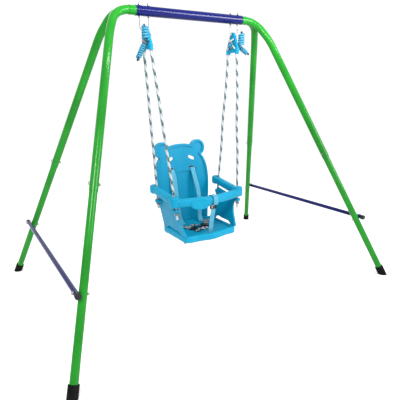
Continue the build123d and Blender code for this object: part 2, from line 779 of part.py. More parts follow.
def lap_strap_end(side):
    """Where a lap strap meets its half of the buckle."""
    if side > 0:
        place, turn, reach = SOCKET_PLACE, SOCKET_TURN, -SOCKET_SIZE[1] / 2 - 1
    else:
        place, turn, reach = PLUG_PLACE, PLUG_TURN, PLUG_BASE[1] / 2 + 1
    angle = radians(turn)
    return seat_point((place[0] - reach * sin(angle), place[1] + reach * cos(angle), 0))


def buckle_socket():
    """The female half of the side-release buckle, with its side windows."""
    body = Pos(0, 0, SOCKET_SIZE[2] / 2) * Box(*SOCKET_SIZE)
    body = soften(body, body.edges().filter_by(Axis.Z), 6)
    body = soften(body, body.faces().sort_by(Axis.Z)[-1].edges(), 2)
    body -= Pos(0, 8, SOCKET_SIZE[2] / 2) * Box(32, 16, 6.4)
    for side in SIDES.values():
        body -= Pos(side * 20, 2, SOCKET_SIZE[2] / 2) * Box(10, 9, 6.4)
    floor = PAN_TOP_Z - PAN_RECESS + 0.5
    return Pos(seat_point((*SOCKET_PLACE, floor))) * Rot(0, 0, SOCKET_TURN) * body


def buckle_plug():
    """The male half, with two sprung arms and a middle guide."""
    base = Pos(0, 0, 5) * Box(*PLUG_BASE)
    base = soften(base, base.edges().filter_by(Axis.Z), 3)
    arms = [Pos(side * 13, -14, 5) * Rot(0, 0, side * 8) * Box(5, 20, 6) for side in SIDES.values()]
    body = base + arms + Pos(0, -12, 5) * Box(5, 16, 5)
    floor = PAN_TOP_Z - PAN_RECESS + 0.5
    return Pos(seat_point((*PLUG_PLACE, floor))) * Rot(0, 0, PLUG_TURN) * body


# ------------------------------------------------------------------ build
def main():
    os.makedirs("parts", exist_ok=True)
    save("crossbar", crossbar())
    save("joint_bolts", joint_bolts())
    save("joint_nuts", joint_nuts())
    save("brace_bolts", brace_bolts())
    save("brace_nuts", brace_nuts())
    save("u_bolt_nuts", u_bolt_nuts())
    save("brace_caps", group(brace_cap(s, f) for s in SIDES.values() for f in FACES.values()))
    save("hanger_knobs", group(hanger_knob(s) for s in SIDES.values()))
    save("rope_knots", group(rope_knot(s, f) for s in SIDES.values() for f in FACES.values()))
    save("strap_keepers", group(strap_keeper(s) for s in SIDES.values()))
    for side_name, side in SIDES.items():
        save(f"corner_stub_{side_name}", corner_stub(side))
        save(f"side_brace_{side_name}", side_brace(side))
        save(f"u_bolt_{side_name}", u_bolt(side))
        save(f"hanger_plate_{side_name}", hanger_plate(side))
        save(f"upper_coil_{side_name}", upper_coil(side))
        save(f"tail_coil_{side_name}", tail_coil(side))
        save(f"side_panel_{side_name}", side_panel(side))
        save(f"shoulder_strap_{side_name}", shoulder_strap(side))
        save(f"lap_strap_{side_name}", lap_strap(side))
        for face_name, face in FACES.items():
            save(f"upper_leg_{face_name}_{side_name}", upper_leg(side, face))
            save(f"lower_leg_{face_name}_{side_name}", lower_leg(side, face))
            save(f"foot_cap_{face_name}_{side_name}", foot_cap(side, face))
            save(f"rope_{face_name}_{side_name}", rope(side, face))
    save("seat_pan", seat_pan())
    save("backrest", backrest())
    save("seat_screws", seat_screws())
    save("guard_rail", guard_rail())
    save("crotch_loop", crotch_loop())
    save("crotch_slider", crotch_slider())
    save("crotch_strap", crotch_strap())
    save("crotch_anchor", crotch_anchor())
    save("buckle_socket", buckle_socket())
    save("buckle_plug", buckle_plug())


main()
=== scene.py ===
from math import cos, pi, radians, sin

import bpy
import numpy as np
from mathutils import Matrix, Vector


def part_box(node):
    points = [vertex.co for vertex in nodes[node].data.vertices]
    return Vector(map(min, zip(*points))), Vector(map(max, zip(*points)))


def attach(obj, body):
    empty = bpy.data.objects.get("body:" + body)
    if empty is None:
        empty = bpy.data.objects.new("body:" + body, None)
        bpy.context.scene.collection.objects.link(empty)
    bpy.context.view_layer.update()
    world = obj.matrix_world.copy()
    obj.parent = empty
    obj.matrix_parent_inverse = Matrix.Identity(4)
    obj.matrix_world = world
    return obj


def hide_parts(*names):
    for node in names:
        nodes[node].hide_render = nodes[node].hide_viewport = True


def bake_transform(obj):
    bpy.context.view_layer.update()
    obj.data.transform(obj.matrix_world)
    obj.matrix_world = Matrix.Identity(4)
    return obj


# A toddler swing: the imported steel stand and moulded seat, with ropes, knots, cord coils and
# webbing built here. Lengths are in metres, in the row frame: -Y is the way the child faces.
# Left and right are as seen from the front, so right is +X.

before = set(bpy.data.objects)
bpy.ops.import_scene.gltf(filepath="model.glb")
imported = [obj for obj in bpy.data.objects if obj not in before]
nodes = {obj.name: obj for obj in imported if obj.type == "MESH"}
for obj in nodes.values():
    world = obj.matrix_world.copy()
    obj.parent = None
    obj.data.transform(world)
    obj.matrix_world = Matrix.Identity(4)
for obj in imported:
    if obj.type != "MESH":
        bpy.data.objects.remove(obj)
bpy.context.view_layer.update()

SIDES = {"left": -1, "right": 1}
FACES = {"front": -1, "rear": 1}

# ---- camera ----
CAMERA_PLACE = (-0.954, -1.521, 0.891)
CAMERA_YAW = radians(30.6)
CAMERA_PITCH = radians(-18.56)
CAMERA_ROLL = radians(-1.09)
CAMERA_LENS = 34.07
CAMERA_SHIFT = (0.0375, 0.0497)

# ---- light and floor ----
ROOM_BRIGHTNESS = 1.05
STAND_MIDDLE = (0, 0, 0.6)
SOFTBOXES = {  # place, target, size, power in watts
    "key": ((-1.9, -2.3, 2.9), STAND_MIDDLE, (0.9, 0.9), 85),
    "front": ((1.6, -2.2, 1.5), STAND_MIDDLE, (0.9, 0.9), 42),
    "strip": ((0.15, -0.37, 1.33), (0.15, 0, 1.2), (1.1, 0.035), 5.0),
    "rim": ((0.6, 2.6, 2.3), STAND_MIDDLE, (2.0, 1.0), 14),
}
FLOOR_HALF = 30.0
FLOOR_DROP = 0.0005
FLOOR_TONES = ((0.955, 0.956, 0.957), (0.975, 0.975, 0.975))

# ---- how far apart the rings of a tube or strap are ----
ROPE_STEP = 0.0014
STRAND_STEP = 0.0012
CORD_STEP = 0.0018
STRAP_STEP = 0.003
TIP_STEP = 0.0007

# ---- braids: strands each way round, and metres in which one goes once round ----
ROPE_BRAID = (8, 0.050)
STRAND_BRAID = (6, 0.034)
CORD_BRAID = (12, 0.030)

# ---- ropes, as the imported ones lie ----
ROPE_D = 0.011
ROPE_TOP = (0.218, 0.032, 1.064)
RAIL_HOLE = {"front": (0.174, -0.116, 0.434), "rear": (0.178, 0.046, 0.455)}
LUG_Z = {"front": 0.394, "rear": 0.405}
LUG_HALF_HEIGHT = 0.006
KNOT_HEIGHT = 0.015
ROPE_TAIL = 0.018
ROPE_SWAY = {"left": 0.0008, "right": 0.0022}
ROPE_WAVE = ((0.1, 0), (0.3, 1), (0.5, -1), (0.7, 1), (0.9, 0))  # share of the run, which way it sways

# ---- stopper knots under the seat's lugs ----
KNOT_GAP = 0.0008
KNOT_STRAND_R = 0.0036
KNOT_WRAP_R = 0.0068
KNOT_WRAPS = 1.75
KNOT_END_SHARES = (0.12, 0.3, 0.5, 0.7, 0.88)
KNOT_END_TURNS = 0.42
KNOT_END_BULGE = 0.0009

# ---- crossed ropes on the hanger plates: outer face, then inner ----
HITCH_OUTER_X = 0.223
HITCH_OUTER_R = 0.0042
HITCH_CROSSING = (0.002, 1.096)
HITCH_REACH = (0.011, 0.012)
HITCH_END = (0.015, 0.016)
HITCH_SINK = 0.002
HITCH_INNER_X = 0.2130
HITCH_INNER_R = 0.0036
HITCH_RING_Z = 1.092
HITCH_RING_R = 0.0098
HITCH_RING_STAND = 0.0038
HITCH_RING_CLIMB = 0.0024
HITCH_RING_TURNS = 1.3
HITCH_RING_STEPS = 26
HITCH_STRAND_STAND = 0.0034
HITCH_OVER = (0.0042, 0.0082)
HITCH_DIP = 0.001
HITCH_PATH = [(-0.027, 1.074), (-0.020, 1.084), (-0.013, 1.096), (0.003, 1.109), (0.014, 1.116),
              (0.017, 1.120)]

# ---- cord coils ----
POINTS_PER_TURN = 14
CORD_D = 0.0096
COIL_PLACE = (0.240, -0.034)
COIL_Z = (1.094, 1.138)
COIL_TURN_R = 0.0110
COIL_TURNS = 4.5
COIL_START = 2.0
TAIL_CORD_D = 0.0086
TAIL_TURN_R = 0.0076
TAIL_TURNS = 6.0
TAIL_START = 1.0
TAIL_TOP = {"left": (-0.237, -0.014, 1.080), "right": (0.238, -0.002, 1.096)}
TAIL_BOTTOM = {"left": (-0.270, -0.017, 1.021), "right": (0.287, -0.028, 1.056)}

# ---- sealed ends ----
ROPE_TIP_LENGTH = 0.008
ROPE_TIP_WALL = 0.0005
CORD_TIP_LENGTH = 0.005
CORD_TIP_SCALE = 1.03
TIP_OVERHANG = 0.0012
TIP_DOME = 0.22  # share of the tip's length that is rounded

# ---- webbing ----
WEB_WIDTH = 0.025
WEB_THICKNESS = 0.0021
WEAVE_PITCH = 0.0022
STRIPE_PITCH = 0.022
SHOULDER_X = 0.057
SHOULDER_SLACK = {"left": 0.012, "right": 0.034}
SHOULDER_LEAN = radians(12)
SHOULDER_PATH = [  # outward, y, z, and the share of the slack that brings the point forward
    (0.003, 0.1130, 0.530, 0), (0.002, 0.1040, 0.518, 0), (0, 0.0950, 0.492, 0.25),
    (0.003, 0.0850, 0.435, 0.75), (0.004, 0.0760, 0.375, 1), (0, 0.0640, 0.315, 0.8),
    (-0.001, 0.0440, 0.279, 0.3), (-0.004, 0.0170, 0.2672, 0),
]
CROTCH_SLOT_PATH = [(-0.001, 0.2515), (-0.001, 0.266), (-0.003, 0.280)]  # y from the slot, z
CROTCH_RAIL_PATH = [(0.014, 0.330), (0.003, 0.372)]  # y from the strap's front, z
LOOP_INSET = 0.0012
LOOP_POINTS = 72
LOOP_START = 0.4
LOOP_SQUARENESS = 0.52
LAP_SLOT = (0.098, 0.032, 0.264)
LAP_PATH = [  # share of the way to the buckle, y and rise from the slot
    (0, 0, -0.009), (0, 0, 0.001), (0, -0.004, 0.0045), (0.14, -0.006, 0.0030), (0.45, 0, 0.0055),
    (0.7, 0, 0.0030),
]
LAP_END = (0.82, 0.2685)  # share of the way to the buckle, z
LAP_TAIL_WIDTH = 0.022
LAP_TAIL = {
    "left": [(-0.060, -0.045, 0.2680), (-0.040, -0.030, 0.2700), (-0.018, -0.034, 0.2780),
             (0.004, -0.042, 0.2690), (0.024, -0.040, 0.2675)],
    "right": [(0.030, -0.086, 0.2675), (0.006, -0.088, 0.2720), (-0.014, -0.080, 0.2690),
              (-0.034, -0.090, 0.2700), (-0.052, -0.098, 0.2672)],
}


# ------------------------------------------------------------------ camera, light and floor
def add_camera():
    """The camera stands in front and to the left, lower than the crossbar."""
    forward = Vector((sin(CAMERA_YAW) * cos(CAMERA_PITCH), cos(CAMERA_YAW) * cos(CAMERA_PITCH),
                      sin(CAMERA_PITCH)))
    level = Vector((cos(CAMERA_YAW), -sin(CAMERA_YAW), 0))
    above = level.cross(forward)
    right = level * cos(CAMERA_ROLL) + above * sin(CAMERA_ROLL)
    up = above * cos(CAMERA_ROLL) - level * sin(CAMERA_ROLL)
    data = bpy.data.cameras.new("camera")
    data.sensor_width = 36
    data.lens = CAMERA_LENS
    data.shift_x, data.shift_y = CAMERA_SHIFT
    camera = bpy.data.objects.new("camera", data)
    turn = Matrix((right, up, -forward)).transposed().to_4x4()
    camera.matrix_world = Matrix.Translation(CAMERA_PLACE) @ turn
    bpy.context.scene.collection.objects.link(camera)
    bpy.context.scene.camera = camera


def add_softbox(name, place, target, size, power):
    """A rectangular light aimed at a point."""
    data = bpy.data.lights.new(name, "AREA")
    data.shape = "RECTANGLE"
    data.size, data.size_y = size
    data.energy = power
    light = bpy.data.objects.new(name, data)
    aim = (Vector(target) - Vector(place)).to_track_quat("-Z", "Y").to_matrix().to_4x4()
    light.matrix_world = Matrix.Translation(place) @ aim
    bpy.context.scene.collection.objects.link(light)


def add_studio():
    """A white room with its softboxes; the strip lights the crossbar's front."""
    world = bpy.data.worlds.new("studio")
    world.use_nodes = True
    back = world.node_tree.nodes["Background"]
    back.inputs["Color"].default_value = (1.0, 1.0, 1.0, 1)
    back.inputs["Strength"].default_value = ROOM_BRIGHTNESS
    bpy.context.scene.world = world
    bpy.context.scene.view_settings.view_transform = "Standard"
    for name, settings in SOFTBOXES.items():
        add_softbox(name, *settings)


def add_floor():
    """A plain sheet of matt card, wide enough to reach past every view."""
    mesh = bpy.data.meshes.new("floor")
    corners = [(x * FLOOR_HALF, y * FLOOR_HALF, 0) for x, y in ((-1, -1), (1, -1), (1, 1), (-1, 1))]
    mesh.from_pydata(corners, [], [(0, 1, 2, 3)])
    floor = bpy.data.objects.new("floor", mesh)
    bpy.context.scene.collection.objects.link(floor)
    floor.location.z = -FLOOR_DROP
    material, tree, shader = new_finish("floor_card")
    tone = noise(tree, 1.3, 3)
    dim, bright = FLOOR_TONES
    link(tree, ramp(tree, tone, [(0.3, dim), (0.7, bright)]), shader.inputs["Base Color"])
    shader.inputs["Roughness"].default_value = 0.8
    mesh.materials.append(material)


# ------------------------------------------------------------------ node helpers
def new_finish(name):
    """A material with one Principled shader."""
    material = bpy.data.materials.new(name)
    material.use_nodes = True
    tree = material.node_tree
    tree.nodes.clear()
    output = tree.nodes.new("ShaderNodeOutputMaterial")
    shader = tree.nodes.new("ShaderNodeBsdfPrincipled")
    link(tree, shader.outputs[0], output.inputs[0])
    return material, tree, shader


def link(tree, source, socket):
    tree.links.new(source, socket)


def place_coords(tree, stretch=(1, 1, 1)):
    """Object coordinates, in metres, stretched along an axis if asked."""
    coords = tree.nodes.new("ShaderNodeTexCoord").outputs["Object"]
    if stretch == (1, 1, 1):
        return coords
    mapping = tree.nodes.new("ShaderNodeMapping")
    mapping.inputs["Scale"].default_value = stretch
    link(tree, coords, mapping.inputs["Vector"])
    return mapping.outputs[0]


def noise(tree, scale, detail=2, stretch=(1, 1, 1), roughness=0.5):
    """Smooth random greys; scale is features per metre."""
    node = tree.nodes.new("ShaderNodeTexNoise")
    node.inputs["Scale"].default_value = scale
    node.inputs["Detail"].default_value = detail
    node.inputs["Roughness"].default_value = roughness
    link(tree, place_coords(tree, stretch), node.inputs["Vector"])
    return node.outputs["Fac"]


def pebbles(tree, scale):
    """Distance to the nearest cell centre of a fine cell pattern."""
    node = tree.nodes.new("ShaderNodeTexVoronoi")
    node.inputs["Scale"].default_value = scale
    link(tree, place_coords(tree), node.inputs["Vector"])
    return node.outputs["Distance"]


def ramp(tree, factor, stops):
    """Colours, or greys given as one number, at places along a factor."""
    node = tree.nodes.new("ShaderNodeValToRGB")
    elements = node.color_ramp.elements
    while len(elements) < len(stops):
        elements.new(0.5)
    for element, (place, colour) in zip(elements, stops):
        element.position = place
        rgb = colour if isinstance(colour, tuple) else (colour,) * 3
        element.color = (*rgb, 1)
    link(tree, factor, node.inputs["Fac"])
    return node.outputs["Color"]


def blend_colours(tree, factor, first, second, way="MIX"):
    """A mix of two colours or colour sockets; way is the Mix node's blend type."""
    node = tree.nodes.new("ShaderNodeMix")
    node.data_type = "RGBA"
    node.blend_type = way
    for key, value in (("Factor", factor), ("A", first), ("B", second)):
        socket = node.inputs[key]
        if isinstance(value, bpy.types.NodeSocket):
            link(tree, value, socket)
        elif isinstance(value, tuple):
            socket.default_value = (*value, 1)
        else:
            socket.default_value = value
    return node.outputs["Result"]


def calc(tree, operation, first, second=None):
    """One Math node on sockets or numbers."""
    node = tree.nodes.new("ShaderNodeMath")
    node.operation = operation
    for socket, value in zip(node.inputs, (first, second)):
        if isinstance(value, bpy.types.NodeSocket):
            link(tree, value, socket)
        elif value is not None:
            socket.default_value = value
    return node.outputs[0]


def bump(tree, shader, height, strength, distance):
    """Relief of a height socket; a second call lays its relief over the first."""
    node = tree.nodes.new("ShaderNodeBump")
    node.inputs["Strength"].default_value = strength
    node.inputs["Distance"].default_value = distance
    link(tree, height, node.inputs["Height"])
    if shader.inputs["Normal"].links:
        link(tree, shader.inputs["Normal"].links[0].from_socket, node.inputs["Normal"])
    link(tree, node.outputs[0], shader.inputs["Normal"])


def cloth_coords(tree):
    """The UV of a strap, in metres across and along, or of a tube, in turns round and metres along."""
    node = tree.nodes.new("ShaderNodeSeparateXYZ")
    link(tree, tree.nodes.new("ShaderNodeTexCoord").outputs["UV"], node.inputs[0])
    return node.outputs["X"], node.outputs["Y"]


# ------------------------------------------------------------------ finishes
def gloss_paint(name, colour, deep, scuff, shine):
    """Baked enamel on steel tube: orange peel, faint pooling of colour, and rubbed scuffs.
    shine is the shader's specular level."""
    material, tree, shader = new_finish(name)
    pooled = ramp(tree, noise(tree, 9, 3), [(0.35, deep), (0.6, colour)])
    rubbed = ramp(tree, noise(tree, 70, 5, (1, 1, 0.3), 0.62), [(0.70, 0.0), (0.78, 0.75)])
    link(tree, blend_colours(tree, rubbed, pooled, scuff), shader.inputs["Base Color"])
    link(tree, ramp(tree, noise(tree, 26, 4), [(0.3, 0.13), (0.75, 0.20)]), shader.inputs["Roughness"])
    bump(tree, shader, noise(tree, 420, 2), 0.03, 0.0004)
    bump(tree, shader, noise(tree, 60, 2), 0.03, 0.002)
    shader.inputs["Specular IOR Level"].default_value = shine
    shader.inputs["Coat Weight"].default_value = 0.05
    shader.inputs["Coat Roughness"].default_value = 0.10
    return material


def moulded_plastic(name, colour, deep, pale):
    """Blow-moulded polyethylene: soft sheen, fine stipple, flow marks and pale rubbed spots."""
    material, tree, shader = new_finish(name)
    flow = ramp(tree, noise(tree, 7, 4, (1, 1, 0.4)), [(0.32, deep), (0.66, colour)])
    rubbed = ramp(tree, noise(tree, 55, 6, (1, 1, 1), 0.65), [(0.62, 0.0), (0.78, 0.55)])
    link(tree, blend_colours(tree, rubbed, flow, pale), shader.inputs["Base Color"])
    link(tree, ramp(tree, noise(tree, 38, 4), [(0.3, 0.33), (0.75, 0.48)]), shader.inputs["Roughness"])
    bump(tree, shader, pebbles(tree, 900), 0.12, 0.0003)
    bump(tree, shader, noise(tree, 24, 3), 0.12, 0.003)
    shader.inputs["Subsurface Weight"].default_value = 0.06
    shader.inputs["Subsurface Radius"].default_value = (0.004, 0.006, 0.008)
    shader.inputs["Specular IOR Level"].default_value = 0.11
    shader.inputs["Coat Weight"].default_value = 0.03
    shader.inputs["Coat Roughness"].default_value = 0.2
    return material


def rubber(name):
    """Black foot rubber, dusty, with a dry grain."""
    material, tree, shader = new_finish(name)
    grain = noise(tree, 34, 6, (1, 1, 1), 0.6)
    dust = ramp(tree, grain, [(0.42, (0.004, 0.004, 0.004)), (0.8, (0.013, 0.013, 0.012))])
    link(tree, dust, shader.inputs["Base Color"])
    link(tree, ramp(tree, noise(tree, 120, 3), [(0.3, 0.52), (0.7, 0.80)]), shader.inputs["Roughness"])
    bump(tree, shader, noise(tree, 700, 2), 0.3, 0.0004)
    shader.inputs["Specular IOR Level"].default_value = 0.03
    return material


def dark_plastic(name):
    """Black moulded nylon of caps, slider and buckle."""
    material, tree, shader = new_finish(name)
    tone = ramp(tree, noise(tree, 60, 4), [(0.35, (0.008, 0.009, 0.012)), (0.75, (0.022, 0.023, 0.028))])
    link(tree, tone, shader.inputs["Base Color"])
    link(tree, ramp(tree, noise(tree, 150, 2), [(0.3, 0.26), (0.7, 0.42)]), shader.inputs["Roughness"])
    bump(tree, shader, pebbles(tree, 1400), 0.15, 0.0002)
    shader.inputs["Specular IOR Level"].default_value = 0.2
    return material


def plated_steel(name, bright, dull):
    """Zinc-plated wire and nuts: a drawn grain with dull spots."""
    material, tree, shader = new_finish(name)
    spots = ramp(tree, noise(tree, 160, 5, (1, 1, 1), 0.6), [(0.38, dull), (0.62, bright)])
    link(tree, spots, shader.inputs["Base Color"])
    shader.inputs["Metallic"].default_value = 1.0
    drawn = noise(tree, 210, 3, (1, 1, 0.1))
    link(tree, ramp(tree, drawn, [(0.3, 0.26), (0.7, 0.46)]), shader.inputs["Roughness"])
    bump(tree, shader, noise(tree, 900, 2, (1, 1, 0.08)), 0.15, 0.0002)
    return material


def braid_cells(tree, strands, lead):
    """The braid of a tube whose UV is (turns round, metres along): which family of strands is on top
    (0 or 1), the index of the strand of each family, and the height across the top strand."""
    around, along = cloth_coords(tree)
    steps = calc(tree, "MULTIPLY", along, strands / lead)
    spokes = calc(tree, "MULTIPLY", around, strands)
    first = calc(tree, "ADD", spokes, steps)
    second = calc(tree, "SUBTRACT", spokes, steps)
    first_index = calc(tree, "FLOOR", first)
    second_index = calc(tree, "FLOOR", second)
    top = calc(tree, "FLOORED_MODULO", calc(tree, "ADD", first_index, second_index), 2)
    across_first = calc(tree, "SINE", calc(tree, "MULTIPLY", calc(tree, "FRACT", first), pi))
    across_second = calc(tree, "SINE", calc(tree, "MULTIPLY", calc(tree, "FRACT", second), pi))
    height = calc(tree, "ADD", calc(tree, "MULTIPLY", across_first, calc(tree, "SUBTRACT", 1.0, top)),
                  calc(tree, "MULTIPLY", across_second, top))
    return top, first_index, second_index, height


def flecked_rope(name, light, dark):
    """White braided rope whose dark tracer strands wind round it and dip under the white ones."""
    material, tree, shader = new_finish(name)
    strands = ROPE_BRAID[0]
    top, first_index, second_index, height = braid_cells(tree, *ROPE_BRAID)
    ring = calc(tree, "FLOORED_MODULO", first_index, strands)
    tracer = calc(tree, "LESS_THAN", ring, strands * 0.45)
    crossing = calc(tree, "LESS_THAN", calc(tree, "FLOORED_MODULO", second_index, 4), 0.5)
    under = calc(tree, "MULTIPLY", top, crossing)
    shown = calc(tree, "MULTIPLY", tracer, calc(tree, "SUBTRACT", 1.0, under))
    yarn = ramp(tree, noise(tree, 900, 3), [(0.3, 0.0), (0.7, 0.35)])
    white = blend_colours(tree, yarn, light, tuple(c * 0.72 for c in light))
    teal = blend_colours(tree, yarn, dark, tuple(min(1, c * 2.4) for c in dark))
    colour = blend_colours(tree, shown, white, teal)
    # painted shade: the grooves between the braid's strands are darkened in the base colour
    groove_painted_shade = ramp(tree, height, [(0.0, 0.45), (0.55, 1.0)])
    link(tree, blend_colours(tree, 0.8, colour, groove_painted_shade, "MULTIPLY"), shader.inputs["Base Color"])
    link(tree, ramp(tree, height, [(0.0, 0.85), (1.0, 0.52)]), shader.inputs["Roughness"])
    bump(tree, shader, height, 0.35, 0.0008)
    bump(tree, shader, noise(tree, 1500, 2), 0.25, 0.0003)
    shader.inputs["Sheen Weight"].default_value = 0.08
    shader.inputs["Specular IOR Level"].default_value = 0.2
    return material


def jacket_cord(name, colour, deep):
    """Blue cord with a tight glossy jacket; its fine braid has painted shade in the grooves."""
    material, tree, shader = new_finish(name)
    height = braid_cells(tree, *CORD_BRAID)[3]
    tone = blend_colours(tree, ramp(tree, noise(tree, 120, 3), [(0.3, 0.0), (0.75, 1.0)]), deep, colour)
    # painted shade: the grooves of the braid are darkened in the base colour
    groove_painted_shade = ramp(tree, height, [(0.0, 0.55), (0.5, 1.0)])
    link(tree, blend_colours(tree, 0.6, tone, groove_painted_shade, "MULTIPLY"), shader.inputs["Base Color"])
    link(tree, ramp(tree, height, [(0.0, 0.6), (1.0, 0.3)]), shader.inputs["Roughness"])
    bump(tree, shader, height, 0.3, 0.0005)
    shader.inputs["Specular IOR Level"].default_value = 0.3
    shader.inputs["Coat Weight"].default_value = 0.1
    shader.inputs["Coat Roughness"].default_value = 0.2
    return material


def webbing(name, weave_pitch, colours, stripe=None):
    """Polyester webbing: a chevron twill, faded in places, with slanting bars if stripe is given as
    (pitch, colour). colours are the ribs and the painted shade of the hollows between them."""
    material, tree, shader = new_finish(name)
    across, along = cloth_coords(tree)
    folded = calc(tree, "ABSOLUTE", across)
    slant = calc(tree, "ADD", along, folded)
    twill = calc(tree, "SINE", calc(tree, "MULTIPLY", slant, 2 * pi / weave_pitch))
    yarns = calc(tree, "SINE", calc(tree, "MULTIPLY", across, 2 * pi / (weave_pitch * 0.55)))
    height = calc(tree, "MULTIPLY_ADD", calc(tree, "MULTIPLY", twill, yarns), 0.5)
    height.node.inputs[2].default_value = 0.5
    base, deep = colours
    # painted shade: the hollows of the weave get the darker colour, the ribs the lighter
    tone = ramp(tree, height, [(0.15, deep), (0.75, base)])
    if stripe:
        pitch, dark = stripe
        wave = calc(tree, "FRACT", calc(tree, "MULTIPLY", slant, 1 / pitch))
        bar = calc(tree, "LESS_THAN", wave, 0.5)
        tone = blend_colours(tree, bar, tone, dark)
    fade = ramp(tree, noise(tree, 45, 4), [(0.4, 0.0), (0.85, 0.3)])
    worn = blend_colours(tree, fade, tone, tuple(min(1, c * 1.25 + 0.03) for c in base))
    link(tree, worn, shader.inputs["Base Color"])
    link(tree, ramp(tree, height, [(0.0, 0.86), (1.0, 0.62)]), shader.inputs["Roughness"])
    bump(tree, shader, height, 0.55, 0.0005)
    bump(tree, shader, noise(tree, 1300, 2), 0.2, 0.0002)
    shader.inputs["Sheen Weight"].default_value = 0.08
    shader.inputs["Specular IOR Level"].default_value = 0.15
    return material


# ------------------------------------------------------------------ paths and tubes
def route_line(points, spacing):
    """Points evenly spaced along the smooth NURBS spline that the route's points control."""
    data = bpy.data.curves.new("route", "CURVE")
    data.dimensions = "3D"
    spline = data.splines.new("NURBS")
    spline.points.add(len(points) - 1)
    for control, point in zip(spline.points, points):
        control.co = (*point, 1)
    spline.order_u = 3
    spline.use_endpoint_u = True
    spline.resolution_u = 24
    holder = bpy.data.objects.new("route", data)
    mesh = bpy.data.meshes.new_from_object(holder)
    line = np.array([v.co for v in mesh.vertices])
    bpy.data.meshes.remove(mesh)
    bpy.data.objects.remove(holder)
    bpy.data.curves.remove(data)
    steps = np.linalg.norm(np.diff(line, axis=0), axis=1)
    travelled = np.concatenate([[0], np.cumsum(steps)])
    wanted = np.linspace(0, travelled[-1], max(8, int(travelled[-1] / spacing)) + 1)
    return np.stack([np.interp(wanted, travelled, line[:, axis]) for axis in range(3)], 1)


def carried_frames(line):
    """Two unit vectors square to the line at each point, carried along it without twist."""
    along = np.gradient(line, axis=0)
    along /= np.linalg.norm(along, axis=1)[:, None]
    seed = np.array([1.0, 0, 0]) if abs(along[0][0]) < 0.8 else np.array([0, 1.0, 0])
    firsts = []
    for direction in along:
        seed = seed - direction * seed.dot(direction)
        seed = seed / np.linalg.norm(seed)
        firsts.append(seed)
    firsts = np.array(firsts)
    return firsts, np.cross(along, firsts)


def mesh_piece(name, vertices, faces, uvs, finish):
    """A smooth-shaded object from plain lists; uvs is one pair per vertex of each face."""
    mesh = bpy.data.meshes.new(name)
    mesh.from_pydata([tuple(v) for v in vertices], [], faces)
    layer = mesh.uv_layers.new(name="weave")
    layer.data.foreach_set("uv", np.array(uvs, np.float32).ravel())
    mesh.polygons.foreach_set("use_smooth", [True] * len(mesh.polygons))
    mesh.materials.append(finish)
    mesh.update()
    piece = bpy.data.objects.new(name, mesh)
    bpy.context.scene.collection.objects.link(piece)
    return piece


def braid_relief(strands, lead):
    """How far each point of a braided tube stands off its mean radius, as a share of it."""
    def relief(turn, metres):
        first = strands * (turn + metres / lead)
        second = strands * (turn - metres / lead)
        top = (np.floor(first) + np.floor(second)) % 2
        hump = np.where(top > 0.5, np.sin(pi * (second % 1)), np.sin(pi * (first % 1)))
        return 0.13 * (hump - 0.64)
    return relief


def tube_piece(name, line, radius, finish, sides=28, relief=None, profile=None):
    """A closed tube along a line. relief(turn, metres) lifts the skin and profile(share) scales it."""
    firsts, seconds = carried_frames(line)
    travelled = np.concatenate([[0], np.cumsum(np.linalg.norm(np.diff(line, axis=0), axis=1))])
    turns = np.arange(sides) / sides
    vertices = []
    for point, first, second, metres in zip(line, firsts, seconds, travelled):
        scale = radius * (profile(metres / travelled[-1]) if profile else 1)
        lift = 1 + (relief(turns, metres) if relief else np.zeros(sides))
        for turn, stand in zip(turns * 2 * pi, lift):
            vertices.append(point + (first * cos(turn) + second * sin(turn)) * scale * stand)
    faces, uvs = [], []
    for ring in range(len(line) - 1):
        for side in range(sides):
            follow = (side + 1) % sides
            low, high = ring * sides, (ring + 1) * sides
            faces.append((low + side, low + follow, high + follow, high + side))
            u, v = side / sides, travelled[ring]
            u_next, v_next = (side + 1) / sides, travelled[ring + 1]
            uvs += [(u, v), (u_next, v), (u_next, v_next), (u, v_next)]
    for base, order in ((0, -1), ((len(line) - 1) * sides, 1)):
        cap = [base + side for side in range(sides)][::order]
        faces.append(tuple(cap))
        uvs += [(0.5 + 0.2 * cos(turn), 0.001 * sin(turn)) for turn in turns * 2 * pi]
    return mesh_piece(name, vertices, faces, uvs, finish)


def strap_section():
    """Half-width and half-thickness shares round a flat band with full selvedges."""
    sides = 16
    angles = np.arange(sides) * 2 * pi / sides
    wide = np.sign(np.cos(angles)) * np.abs(np.cos(angles)) ** 0.45
    deep = np.sign(np.sin(angles)) * np.abs(np.sin(angles)) ** 0.6
    selvedge = 1 + 0.25 * (np.abs(wide) > 0.8)
    return wide, deep * selvedge


